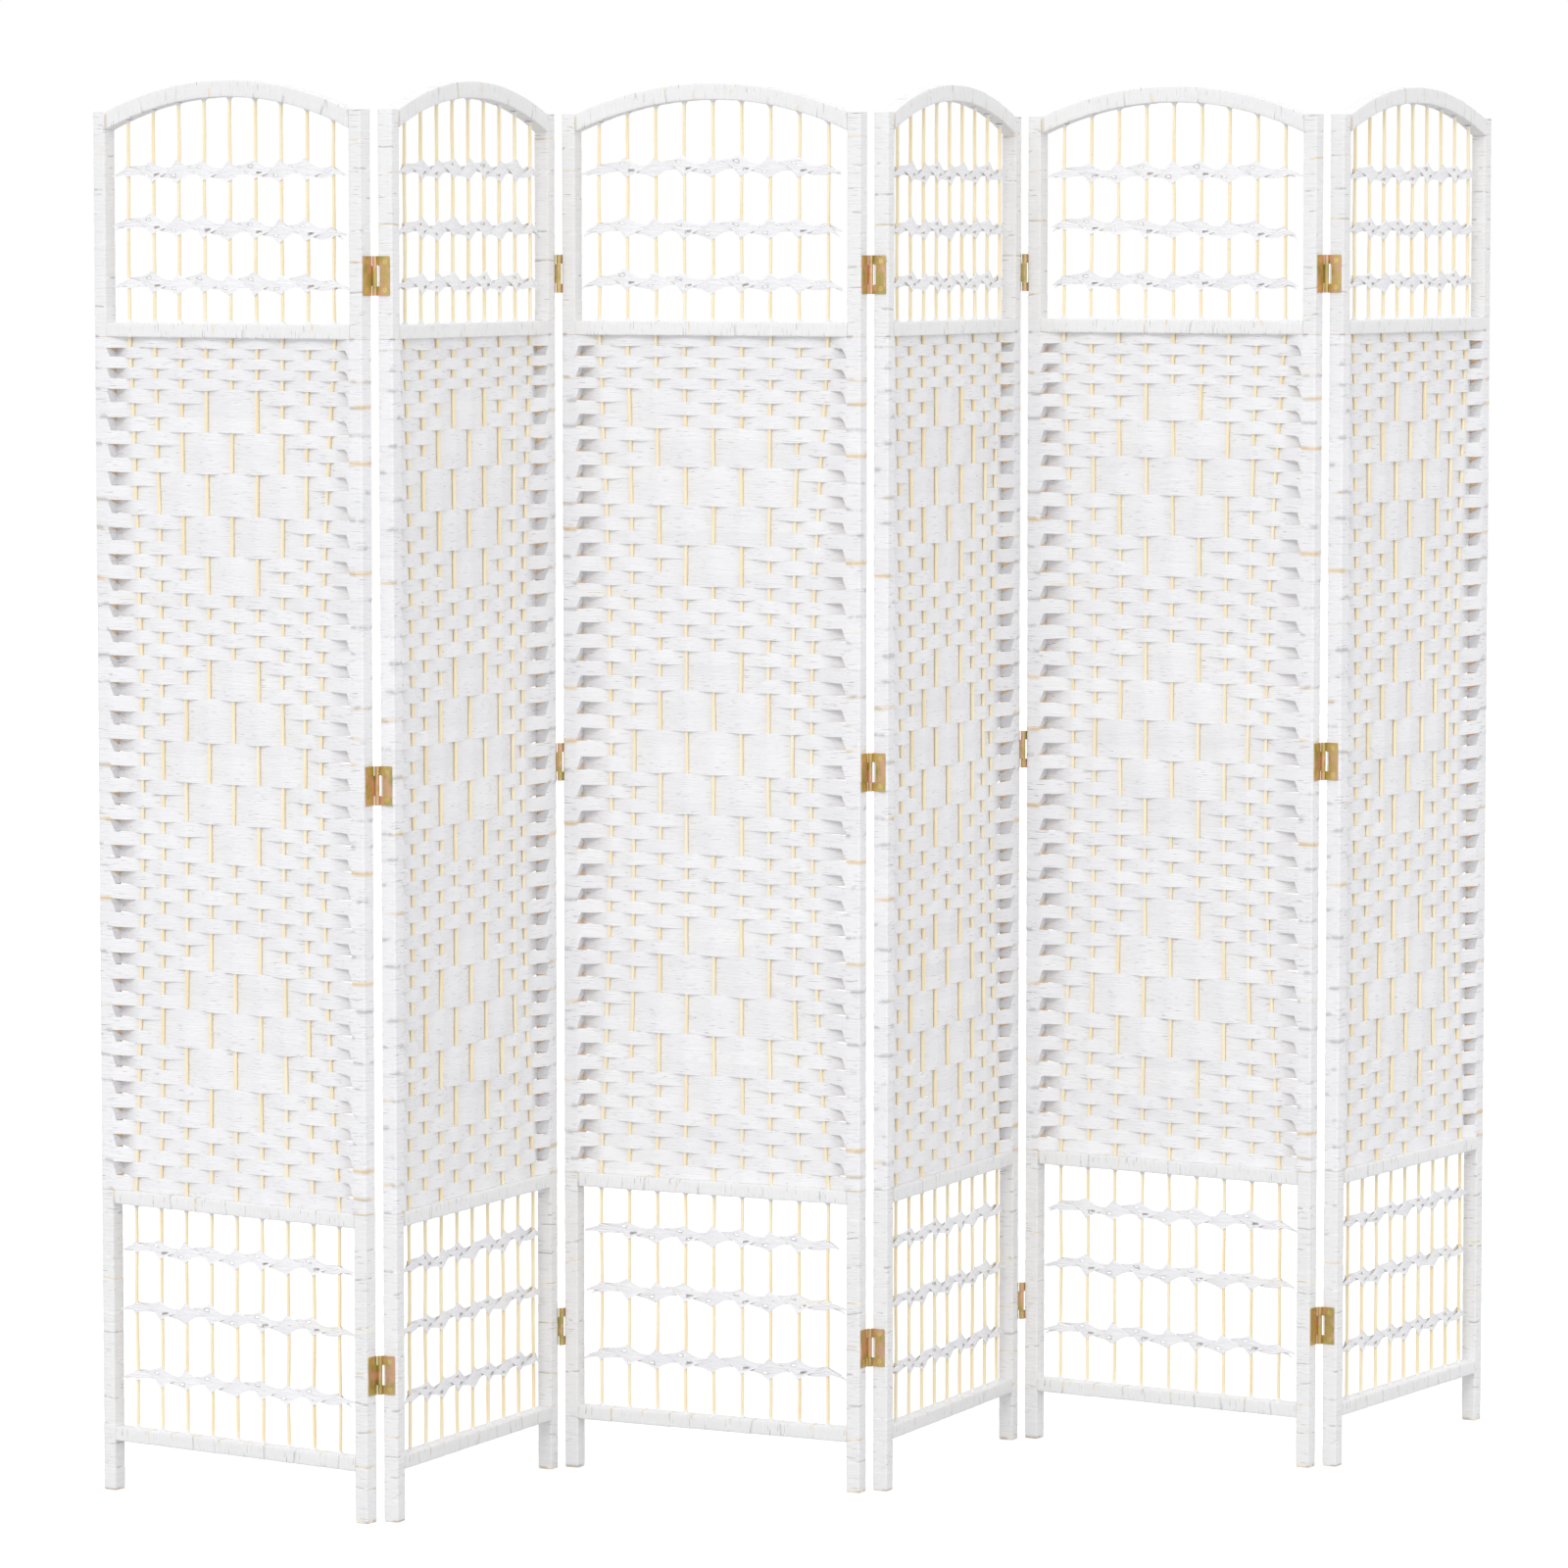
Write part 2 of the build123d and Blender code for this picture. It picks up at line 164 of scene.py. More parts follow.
def linear(red, green, blue):
    """Colour for a shader from the 0 to 255 values that it shows as."""
    parts = [value / 255 for value in (red, green, blue)]
    return [p / 12.92 if p <= 0.04045 else ((p + 0.055) / 1.055) ** 2.4 for p in parts] + [1]


# Meshes made of closed tubes

# Free share of each tube's row in the map, at its top and at its bottom
map_margin = 0.04
# Edges that turn more than this show as folds, in degrees
fold_angle = 50


class Tubes:
    """Closed tubes gathered in one mesh. Each is rings of points along its length."""

    def __init__(self):
        self.points, self.quads, self.caps, self.smooth = [], [], [], []
        self.maps, self.cap_maps, self.marks = [], [], []
        self.count = 0

    def add(self, rings, tone=0.0, seam=None, rims=(), holes=()):
        """Add a tube. rings is (along, around, xyz); rims are flat-shaded columns.

        tone is lighter or darker paper; seam marks folds, edges and slit rims point by point, where the paper
        shader paints shade. Each of the holes is its first and last ring and its low and high column, and is
        cut through from the front to the back.
        """
        along, around = rings.shape[:2]
        step = np.linalg.norm(np.diff(rings.mean(1), axis=0), axis=1)
        length = np.concatenate([[0], np.cumsum(step)])
        girth = np.linalg.norm(np.roll(rings, -1, 1) - rings, axis=2).mean(0)
        turn = np.concatenate([[0], np.cumsum(girth)])
        i, j = np.meshgrid(np.arange(along - 1), np.arange(around), indexing="ij")
        i, j = i.ravel(), j.ravel()
        nxt = (j + 1) % around
        quads = [i * around + j, i * around + nxt, (i + 1) * around + nxt, (i + 1) * around + j]
        quads = np.stack(quads, 1)
        maps = np.stack([np.stack([length[i], turn[j]], 1), np.stack([length[i], turn[j + 1]], 1),
                         np.stack([length[i + 1], turn[j + 1]], 1), np.stack([length[i + 1], turn[j]], 1)], 1)
        smooth = ~np.isin(j, rims)
        flat = rings.reshape(-1, 3)
        corner = flat[quads] - flat.mean(0)
        volume = np.einsum("ij,ij->i", corner[:, 0], np.cross(corner[:, 1], corner[:, 2])).sum()
        volume += np.einsum("ij,ij->i", corner[:, 0], np.cross(corner[:, 2], corner[:, 3])).sum()
        keep = np.ones(len(quads), bool)
        walls = []
        for first, last, low, high in holes:
            inside = (i >= first) & (i < last)
            for a, b in ((low, high), (around - 1 - high, around - 1 - low)):
                keep &= ~(inside & (j >= a) & (j < b))
            ring = [(first, k) for k in range(low, high)] + [(k, high) for k in range(first, last)]
            ring += [(last, k) for k in range(high, low, -1)] + [(k, low) for k in range(last, first, -1)]
            for (i0, j0), (i1, j1) in zip(ring, ring[1:] + ring[:1]):
                back = [(i1, around - 1 - j1), (i0, around - 1 - j0)]
                walls.append([a * around + b for a, b in [(i0, j0), (i1, j1)] + back])
        quads, maps, smooth = quads[keep], maps[keep], smooth[keep]
        if walls:
            quads = np.concatenate([quads, walls])
            maps = np.concatenate([maps, np.zeros((len(walls), 4, 2))])
            smooth = np.concatenate([smooth, np.zeros(len(walls), bool)])
        caps = [np.arange(around)[::-1], (along - 1) * around + np.arange(around)]
        ends = [np.stack([np.full(around, length[k]), turn[:-1]], 1) for k in (0, -1)]
        ends[0] = ends[0][::-1]
        if volume < 0:
            quads, maps = quads[:, ::-1], maps[:, ::-1]
            caps, ends = [c[::-1] for c in caps], [e[::-1] for e in ends]
        self.points.append(flat)
        start = sum(len(p) for p in self.points[:-1])
        self.quads.append(quads + start)
        self.caps += [c + start for c in caps]
        self.maps.append((maps, turn[-1]))
        self.cap_maps += [(e, self.count, turn[-1]) for e in ends]
        self.smooth.append(smooth)
        mark = np.zeros(along * around) if seam is None else np.asarray(seam, float).ravel()
        self.marks.append(np.stack([np.full(along * around, tone), mark], 1))
        self.count += 1

    def mesh(self, name):
        """The gathered tubes as a mesh in metres, mapped one tube to a row."""
        quads = np.concatenate(self.quads)
        longest = max(maps[:, :, 0].max() for maps, turn in self.maps)

        def mapped(place, spots, turn):
            up = (place + map_margin + (1 - 2 * map_margin) * spots[..., 1] / turn) / self.count
            return np.stack([spots[..., 0] / longest, up], -1).reshape(-1, 2)

        rows = [mapped(place, maps, turn) for place, (maps, turn) in enumerate(self.maps)]
        rows += [mapped(place, ends, turn) for ends, place, turn in self.cap_maps]
        corners = np.concatenate([quads.ravel()] + self.caps)
        sizes = [4] * len(quads) + [len(c) for c in self.caps]
        starts = np.concatenate([[0], np.cumsum(sizes)[:-1]])
        points = np.concatenate(self.points) * mm
        mesh = bpy.data.meshes.new(name)
        mesh.vertices.add(len(points))
        mesh.vertices.foreach_set("co", points.astype(np.float32).ravel())
        mesh.loops.add(len(corners))
        mesh.loops.foreach_set("vertex_index", corners.astype(np.int32))
        mesh.polygons.add(len(sizes))
        mesh.polygons.foreach_set("loop_start", starts.astype(np.int32))
        smooth = np.concatenate(self.smooth + [np.zeros(len(self.caps), bool)])
        mesh.polygons.foreach_set("use_smooth", smooth)
        mesh.update(calc_edges=True)
        mesh.set_sharp_from_angle(angle=math.radians(fold_angle))
        spots = np.concatenate(rows).astype(np.float32)
        mesh.uv_layers.new(name="OFBake").data.foreach_set("uv", spots.ravel())
        marks = np.concatenate(self.marks).astype(np.float32)
        for column, title in enumerate(("tone", "seam")):
            mesh.attributes.new(title, "FLOAT", "POINT").data.foreach_set("value", marks[:, column].copy())
        return mesh


def ribbon(x, y, low, top, levels, shift=0.0, thickness=sheet):
    """Rings of a thin upright strip along a plan path, with its front at the right hand of the path.

    levels run from -1 at the lower edge to 1 at the upper; shift moves points to the front.
    """
    dx, dy = np.gradient(x), np.gradient(y)
    size = np.hypot(dx, dy)
    front = np.stack([dy / size, -dx / size], 1)
    levels = np.asarray(levels)
    z = low[:, None] + (top - low)[:, None] * (levels + 1) / 2
    shift = np.broadcast_to(shift, z.shape)
    sides = []
    for half in (thickness / 2, -thickness / 2):
        plan = np.stack([x, y], 1)[:, None] + front[:, None] * (shift + half)[:, :, None]
        sides.append(np.concatenate([plan, z[:, :, None]], 2))
    return np.concatenate([sides[0], sides[1][:, ::-1]], 1)


def ribbon_rims(levels):
    """Columns of a ribbon's thin upper and lower rim."""
    return len(levels) - 1, 2 * len(levels) - 1


def waves(random, x, lengths, size):
    """Gentle uneven wave along x, a sum of sines with seeded phases."""
    return sum(size * math.sqrt(1 / len(lengths)) * np.sin(2 * np.pi * x / length + random.uniform(0, 6.3))
               for length in lengths)


# Where things are on a panel


def stick_x(stick, z):
    """Middle of a stick, counted from 1 at the left: drawn sideways in the weave."""
    share = np.clip((z - weave_bottom) / weave_height, 0, 1)
    return first_stick_x + (stick - 1) * stick_pitch + stick_bows[stick - 1] * np.sin(np.pi * share)


def arch_z(x, inset):
    """Height of the arch's curve, a distance in from its outer edge."""
    return arch_centre_z + np.sqrt((arch_radius - inset) ** 2 - (x - panel_width / 2) ** 2)


def strip_behind(panel, row, stick):
    """True where the strip of a row passes behind a stick."""
    behind = (row + stick) % 2 == 0
    for first in diamond_first_rows:
        for step, reach in enumerate(diamond_reach):
            if row == first + step * diamond_row_step and abs(stick - (stick_count + 1) // 2) <= reach:
                behind = not behind
    if (panel, row) == slip[:2] and slip[2] <= stick <= slip[3]:
        behind = not behind
    return behind


def panel_place(panel):
    """Matrix from a panel's own frame to the row frame, from the hinge axes."""
    turn = panel_turns[panel - 1] * (-1 if panel % 2 else 1)
    joint = max(panel - 1, 1)
    side = 1 if joint % 2 else -1
    x = -axis_from_end if panel > 1 else panel_width + axis_from_end
    axis = Vector((*frame["joints"][joint - 1]["pos_m"][:2], 0))
    spin = Matrix.Rotation(math.radians(turn), 4, "Z")
    arm = spin @ Vector((x * mm, side * (face_y + axis_from_face) * mm, 0))
    return Matrix.Translation(axis - arm) @ spin


# Woven strips

strip_levels = np.array([-1, -0.4, 0.4, 1])


def row_borders(random):
    """Heights of the borders between rows from the top down, unevenly beaten together."""
    heights = np.array([tight_row_height] * tight_rows + [loose_row_height] * (row_count - tight_rows))
    count = np.arange(row_count)
    heights *= 1 + waves(random, count, (7.3, 17.0, 31.0), 0.05) + random.normal(0, 0.02, row_count)
    heights *= weave_height / heights.sum()
    return weave_top - np.concatenate([[0], np.cumsum(heights)])


def tab_path(row):
    """Plan path of a strip on the left post: odd rows wrap its end face and front, even rows its back."""
    on_face = face_y - sheet / 2
    if row % 2 == 0:
        return np.array(tab_places), np.full(len(tab_places), on_face - tab_gap)
    turn = np.linspace(0, np.pi / 2, 4)
    end_x = sheet / 2 + tab_gap
    bend_x = end_x + tab_corner * (1 - np.cos(turn))
    bend_y = -on_face + tab_corner * (1 - np.sin(turn))
    on_front = (5, *tab_places[2:])
    x = np.concatenate([np.full(4, end_x), bend_x, on_front])
    y = np.concatenate([np.linspace(*tab_end_reach, 4), bend_y, np.full(len(on_front), -on_face)])
    return x, y


def strip_path(panel, row, middle):
    """Plan path of one strip, and its share of the spread on the left and right tab."""
    x_tab, y_tab = tab_path(row)
    on_face = (face_y - sheet / 2) * (-1 if row % 2 else 1)
    nodes = [(tab_inner, on_face)]
    for stick in range(1, stick_count + 1):
        behind = strip_behind(panel, row, stick)
        nodes.append((stick_x(stick, middle), weave_swing if behind else -weave_swing))
    nodes.append((panel_width - tab_inner, on_face))
    share = np.arange(span_steps) / span_steps
    ease = span_straight * share + (1 - span_straight) * share * share * (3 - 2 * share)
    xs, ys = [], []
    for (x0, y0), (x1, y1) in zip(nodes, nodes[1:]):
        xs.append(x0 + (x1 - x0) * share)
        sag = float_sag * np.sin(np.pi * share) if y0 == y1 else 0
        ys.append((y0 + (y1 - y0) * ease) * (1 - sag))
    x = np.concatenate([x_tab] + xs + [[nodes[-1][0]], (panel_width - x_tab)[::-1]])
    y = np.concatenate([y_tab] + ys + [[nodes[-1][1]], y_tab[::-1]])
    ends = len(x_tab)
    left, right = [np.clip((post_width + abs(spread) - place) / abs(spread), 0, 1)
                   for spread, place in zip(tab_spreads[panel - 1], (x, panel_width - x))]
    left[:ends] = 1
    right[-ends:] = 1
    return x, y, left, right


def add_liners(tubes, random, panel, row, border):
    """Paper on the inner side of both posts behind a row, slanted so that a wedge of wood stays bare."""
    left, right = tab_spreads[panel - 1]
    for at, way, spread in ((post_width, 1, left), (panel_width - post_width, -1, right)):
        deep = np.linspace(-liner_half, liner_half, 5)
        bare = liner_bare * random.uniform(0.6, 1.1) * (deep + liner_half) / (2 * liner_half)
        along = np.full(len(deep), at + way * liner_gap)
        upper = border(row - 1, along) - bare * (spread > 0)
        lower = border(row, along) + bare * (spread < 0)
        rings = ribbon(along, deep, lower, upper, strip_levels, 0.0, liner_thickness)
        tubes.add(rings, random.normal(0, 1), rims=ribbon_rims(strip_levels))


def make_weave(panel, random):
    """All strips of a panel, and the paper inside its posts."""
    tubes = Tubes()
    borders = row_borders(random)
    stations = np.linspace(0, panel_width, border_stations)
    places = [waves(random, stations, (61.0, 97.0, 173.0), border_wave) for _ in borders]
    places[0] = places[-1] = np.zeros(border_stations)

    def border(index, x):
        """Height of the border between two rows, counted from 0 at the top."""
        index = min(max(index, 0), row_count)
        return borders[index] + np.interp(x, stations, places[index])

    def level_with(row, other, x, middle):
        """Where a strip lies flush with a neighbour that takes the same side of the sticks: 1 there."""
        if not 1 <= other <= row_count:
            return np.zeros(len(x))
        sticks = range(1, stick_count + 1)
        same = [float(strip_behind(panel, row, k) == strip_behind(panel, other, k)) for k in sticks]
        return np.interp(x, [stick_x(k, middle) for k in sticks], same, 0, 0)

    for row in range(1, row_count + 1):
        middle = (borders[row - 1] + borders[row]) / 2
        x, y, left, right = strip_path(panel, row, middle)
        inside = (left < 1) & (right < 1)
        front = np.where(inside, np.clip(-y / weave_swing, -1, 1), 0)
        lap = edge_lap + front_lap * front
        flush_top, flush_low = (level_with(row, other, x, middle) for other in (row - 1, row + 1))
        top, low = border(row - 1, x), border(row, x)
        spreads = tab_spreads[panel - 1]
        up = sum(share * (spread > 0 or row == 2) for share, spread in zip((left, right), spreads))
        down = sum(share * (spread < 0 or row == row_count - 1)
                   for share, spread in zip((left, right), spreads))
        top = top + (border(row - 2, x) - top) * up + lap * (1 - flush_top)
        low = low + (border(row + 1, x) - low) * down - lap * (1 - flush_low)
        top, low = np.minimum(top, weave_top - rail_gap), np.maximum(low, weave_bottom + rail_gap)
        flush = np.where(strip_levels > 0, flush_top[:, None], flush_low[:, None])
        tilt = -edge_tilt * strip_levels * np.where(inside, 1, tab_tilt)[:, None] * (1 - flush)
        creases = np.stack([waves(random, x, (19.0, 43.0), crease_size) for _ in strip_levels], 1)
        creases *= inside[:, None]
        bulge = front_bulge * front[:, None] * (1 - strip_levels ** 2 * (1 - flush))
        rings = ribbon(x, y, low, top, strip_levels, tilt + creases * (1 - flush) + bulge)
        # Seam mark at the strips' edges, full on the posts: painted shade along the tab edges there
        edge = np.broadcast_to(np.concatenate([strip_levels, strip_levels[::-1]]) ** 4, rings.shape[:2])
        edge = edge * np.where(inside, edge_seam, 1)[:, None]
        tubes.add(rings, random.normal(0, 1), edge, rims=ribbon_rims(strip_levels))
        if row % 2 == 0:
            add_liners(tubes, random, panel, row, border)
    return tubes


# Sticks


def make_sticks(random):
    """Round-edged sticks from the bottom rail up into the arch."""
    tubes = Tubes()
    turn = (np.arange(stick_sides) + 0.5) * 2 * np.pi / stick_sides
    shape = np.stack([np.cos(turn), np.sin(turn)], 1)
    shape /= (np.abs(shape) ** 3).sum(1, keepdims=True) ** (1 / 3)
    for stick in range(1, stick_count + 1):
        top = arch_z(stick_x(stick, post_height), arch_height - 1) + stick_seat
        z = np.linspace(bottom_rail_top - stick_seat, top, stick_stations)
        free = np.clip(np.minimum(z - bottom_rail_top, top - z) / stick_fade, 0, 1)
        x = stick_x(stick, z) + waves(random, z, (140.0, 310.0), 0.45) * free
        y = waves(random, z, (170.0, 390.0), 0.25) * free
        radius = stick_radius * (1 + waves(random, z, (37.0, 83.0), 0.04))
        ring = np.stack([x, y], 1)[:, None] + shape[None] * radius[:, None, None]
        height = np.broadcast_to(z[:, None, None], (len(z), len(turn), 1))
        tubes.add(np.concatenate([ring, height], 2), random.normal(0, 1))
    return tubes


# Paper windings


def section(width, depth, corner=1.5, steps=3, parts=4):
    """Closed outline of a rounded rectangle about its middle."""
    points = []
    for number, (sx, sy) in enumerate(((1, 1), (-1, 1), (-1, -1), (1, -1))):
        start = number * math.pi / 2
        bend = [(sx * (width / 2 - corner) + corner * math.cos(start + k * math.pi / 2 / steps),
                 sy * (depth / 2 - corner) + corner * math.sin(start + k * math.pi / 2 / steps))
                for k in range(steps + 1)]
        points += bend
        flat = width if number % 2 == 0 else depth
        way = ((-1, 0), (0, -1), (1, 0), (0, 1))[number]
        run = flat - 2 * corner
        points += [(bend[-1][0] + way[0] * run * k / parts, bend[-1][1] + way[1] * run * k / parts)
                   for k in range(1, parts)]
    return np.array(points)


def turns(random, length, pitch, slant):
    """Stations of a winding: place, share of the turn and slant of its edge, with a pair at each overlap."""
    edges = [0.0]
    while edges[-1] < length - pitch * 0.6:
        edges.append(edges[-1] + pitch * random.uniform(0.7, 1.35))
    edges[-1] = length
    slants = random.uniform(-slant, slant, len(edges))
    slants[0] = slants[-1] = 0
    rows = []
    for index in range(len(edges) - 1):
        for share in turn_shares:
            start = edges[index] + turn_step * (index > 0)
            place = start + (edges[index + 1] - start) * share
            rows.append((place, share, slants[index] * (1 - share) + slants[index + 1] * share, index))
    return np.array(rows)


def wound(random, outline, length, pitch, slant, place):
    """Points and seams of a paper winding. place turns along, across and deep into panel points."""
    rows = turns(random, length, pitch, slant)
    along, share, lean, index = rows.T
    across, deep = outline.T
    reach = np.hypot(across, deep)
    side = np.sign(deep) * np.abs(across / np.abs(across).max())
    station = along[:, None] + lean[:, None] * across[None]
    station = np.clip(station + random.normal(0, 0.08, station.shape), 0, length)
    station[0], station[-1] = 0, length
    tones = random.normal(0, 1, int(index.max()) + 1)[index.astype(int)]
    swell = -turn_lift + turn_lift * share[:, None] + random.normal(0, 0.05, station.shape)
    swell += 0.12 * np.sin(side[None] * 3 + tones[:, None])
    factor = 1 + swell / reach[None]
    points = place(station, across[None] * factor, deep[None] * factor)
    # Seam mark at the start of each turn: painted shade and cream along its overlapping edge
    seam = np.clip(1 - np.minimum(share, 1.2 - share) / 0.2, 0, 1)
    return points, np.broadcast_to(seam[:, None], station.shape)


def post_winding(random):
    """Paper round the bare lengths of both posts."""
    tubes = Tubes()
    outline = section(post_width, frame_depth)
    for middle in (post_width / 2, panel_width - post_width / 2):
        for low, high in ((foot_bare, weave_bottom - end_gap), (weave_top + end_gap, post_height)):
            def place(along, across, deep):
                return np.stack([middle + across, deep, low + along], 2)
            points, seam = wound(random, outline, high - low, post_pitch, post_lean, place)
            tubes.add(points, random.normal(0, 0.6), seam)
    return tubes


def collar(x, z, way, random):
    """Gathered paper where a stick enters a rail: a small skirt. way is 1 above the rail."""
    turn = np.arange(collar_sides) * 2 * np.pi / collar_sides
    rows = []
    for rise, radius in collar_rings:
        size = radius * (1 + random.normal(0, 0.05, collar_sides))
        height = np.full(collar_sides, z + way * rise)
        rows.append(np.stack([x + size * np.cos(turn), size * np.sin(turn), height], 1))
    return np.array(rows)


def bar_winding(random):
    """Paper round the three rails and the arch, gathered at the sticks."""
    tubes = Tubes()
    left = post_width - bar_seat
    length = panel_width - 2 * left
    outline = section(rail_height, frame_depth)
    for low in rail_lows:
        def place(along, across, deep):
            return np.stack([left + along, deep, low + rail_height / 2 + across], 2)
        points, seam = wound(random, outline, length, rail_pitch, rail_lean, place)
        tubes.add(points, random.normal(0, 0.6), seam)

    def bow(along, across, deep):
        x = left + along
        fade = np.clip(np.minimum(along, length - along) / arch_end_blend, 0, 1)
        x = x + (x - panel_width / 2) / arch_radius * across * fade
        return np.stack([x, deep, arch_z(x, arch_height / 2 - across)], 2)

    outline = section(arch_height, frame_depth)
    points, seam = wound(random, outline, length, arch_pitch, arch_lean, bow)
    tubes.add(points, random.normal(0, 0.6), seam)
    for stick in range(1, stick_count + 1):
        x = stick_x(stick, 0)
        above = ((bottom_rail_top, 1), (lower_rail_low, -1), (upper_rail_top, 1))
        for z, way in (*above, (arch_z(x, arch_height), -1)):
            tubes.add(collar(x, z, way, random))
    return tubes


# Twined bands

band_levels = np.linspace(-1, 1, 9)
# Value of the seam mark at the rim of a slit, where the paper paints shadow round the hole, and the share of
# slits that are cut
hole_shadow_mark = 2
hole_chance = 0.75


def band_line(panel, band, x):
    """How far a band lies below or above its even height."""
    share = (x - panel_width / 2) / panel_width
    rise = band_rises.get((panel, band), 0) * (1 - (2 * share) ** 2)
    return rise - band_falls.get((panel, band), 0) * share


def band_strand(random, panel, band, height, strand):
    """One of the two strips that twine round the sticks, in front of every second one."""
    sticks = np.array([stick_x(k, 0) for k in range(1, stick_count + 1)])
    sticks += random.normal(0, 0.3, stick_count)
    tail = np.minimum(random.uniform(*band_tails, 2), sticks[0] - post_width - 0.5)
    share = np.arange(band_steps) / band_steps
    tail_share = np.arange(band_tail_steps + 1) / band_tail_steps
    x = [sticks[0] - tail[0] * (1 - tail_share[:-1])]
    x += [a + (b - a) * share for a, b in zip(sticks, sticks[1:])]
    x = np.concatenate(x + [sticks[-1] + tail[1] * tail_share])
    place = np.interp(x, sticks, np.arange(1, stick_count + 1))
    stick = np.clip(np.round(place), 1, stick_count).astype(int)
    away = np.abs(place - stick) * 2
    in_front = (stick % 2 == 0) == (strand == 0)
    outer = (stick == 1) | (stick == stick_count)
    wide = 1 + random.normal(0, 0.08, (2, stick_count + 1))
    up = np.where(stick % 2 == 0, band_tip, band_low_tip) * wide[0][stick]
    down = np.where(stick % 2 == 0, band_low_tip, band_tip) * wide[1][stick]
    up, down = [np.where(outer, band_end_tip, np.where(in_front, size, band_back_tip))
                for size in (up, down)]
    opened = (1 - away) ** 1.5
    cross = band_cross * (1 - (1 - away) ** 1.2) * (1 if strand == 0 else -1)
    top = cross + band_waist + (up - band_waist) * opened
    low = cross - band_waist - (down - band_waist) * opened
    beyond = np.maximum(sticks[0] - x, 0) + np.maximum(x - sticks[-1], 0)
    thin = np.clip(1 - beyond / np.where(x < sticks[0], tail[0], tail[1]), 0, 1)
    droop = -random.uniform(2, 9) * (1 - thin) ** 1.5
    size = np.where(beyond > 0, 0.12 + 0.5 * thin, 1)
    middle = height + band_line(panel, band, x) + droop + waves(random, x, (83.0, 151.0), 0.7)
    middle -= np.where(beyond > 0, 0, band_sway * np.sin(np.pi * place))
    y = np.where(in_front, -1, 1) * weave_swing * np.cos(np.pi * np.abs(place - stick))
    y = np.where(beyond > 0, y * thin, y)
    folds = np.cos(band_pleat_turns * np.pi * band_levels + random.uniform(0, 6))
    pleats = band_pleat * folds * ((0.35 + 0.65 * (1 - away)) * thin)[:, None]
    pleats = pleats + random.normal(0, 0.06, (len(x), len(band_levels)))
    rings = ribbon(x, y, middle + low * size, middle + top * size, band_levels, pleats, band_thickness)
    level = np.concatenate([band_levels, band_levels[::-1]])
    lean = -1.6 * np.abs(level)[None] * ((1 - away) ** 3 * (beyond == 0))[:, None]
    rings[:, :, 0] += lean
    crests = np.abs(np.sin(band_pleat_turns * np.pi * level)) ** 6
    seam = 0.55 * crests[None] * random.uniform(0.2, 1, (len(x), 1))
    holes = []
    for k in range(2, stick_count):
        if (k % 2 == 0) != (strand == 0):
            continue
        # An even stick has a slit high at its left and one low at its right, an odd stick one low at its left
        at_stick = band_tail_steps + (k - 1) * band_steps
        spots = [(at_stick - 3, 5), (at_stick + 1, 2)] if k % 2 == 0 else [(at_stick - 3, 2)]
        for first, column in spots:
            if random.uniform() < hole_chance:
                holes.append((first, first + 2, column, column + 1))
                # The hole's rim gets the seam mark for painted shadow
                for edge in (column, 2 * len(band_levels) - 2 - column):
                    seam[first:first + 3, edge:edge + 2] = hole_shadow_mark
    return rings, seam, holes


def make_bands(panel, random):
    """Three bands above the weave and three below it."""
    tubes = Tubes()
    heights = [upper_rail_top + rise for rise in upper_band_rises[::-1]]
    heights += [lower_rail_low - drop for drop in lower_band_drops]
    for number, height in enumerate(heights, start=1):
        for strand in (0, 1):
            rings, seam, holes = band_strand(random, panel, number, height, strand)
            tubes.add(rings, random.normal(0, 1), seam, rims=ribbon_rims(band_levels), holes=holes)
    return tubes


# Materials


class Shader:
    """A material with a principled shader and short calls for its nodes."""

    def __init__(self, name, **values):
        self.material = bpy.data.materials.new(name)
        self.material.use_nodes = True
        self.tree = self.material.node_tree
        self.main = self.tree.nodes["Principled BSDF"]
        for socket, value in values.items():
            self.main.inputs[socket.replace("_", " ")].default_value = value

    def node(self, kind, **inputs):
        made = self.tree.nodes.new(kind)
        for socket, value in inputs.items():
            self.plug(made.inputs[socket.replace("_", " ")], value)
        return made

    def plug(self, socket, value):
        if isinstance(value, bpy.types.NodeSocket):
            self.tree.links.new(value, socket)
        else:
            socket.default_value = value

    def coordinates(self, scale):
        where = self.node("ShaderNodeTexCoord").outputs["Object"]
        return self.node("ShaderNodeMapping", Vector=where, Scale=scale).outputs["Vector"]

    def noise(self, scale, detail=3.0, roughness=0.5):
        made = self.node("ShaderNodeTexNoise", Vector=self.coordinates(scale), Scale=1.0,
                         Detail=detail, Roughness=roughness)
        return made.outputs["Fac"]

    def fit(self, value, low, high, out_low=0.0, out_high=1.0):
        made = self.node("ShaderNodeMapRange")
        self.plug(made.inputs["Value"], value)
        ends = {"From Min": low, "From Max": high, "To Min": out_low, "To Max": out_high}
        for socket, number in ends.items():
            made.inputs[socket].default_value = number
        return made.outputs["Result"]

    def math(self, operation, first, second=0.0):
        made = self.tree.nodes.new("ShaderNodeMath")
        made.operation = operation
        self.plug(made.inputs[0], first)
        self.plug(made.inputs[1], second)
        return made.outputs[0]

    def mix(self, share, first, second):
        made = self.tree.nodes.new("ShaderNodeMix")
        made.data_type = "RGBA"
        self.plug(made.inputs["Factor"], share)
        self.plug(made.inputs["A"], first)
        self.plug(made.inputs["B"], second)
        return made.outputs["Result"]

    def mark(self, title):
        made = self.tree.nodes.new("ShaderNodeAttribute")
        made.attribute_name = title
        return made.outputs["Fac"]

    def bump(self, height, distance, strength=1.0, normal=None):
        made = self.node("ShaderNodeBump", Strength=strength, Distance=distance, Height=height)
        if normal is not None:
            self.plug(made.inputs["Normal"], normal)
        return made.outputs["Normal"]


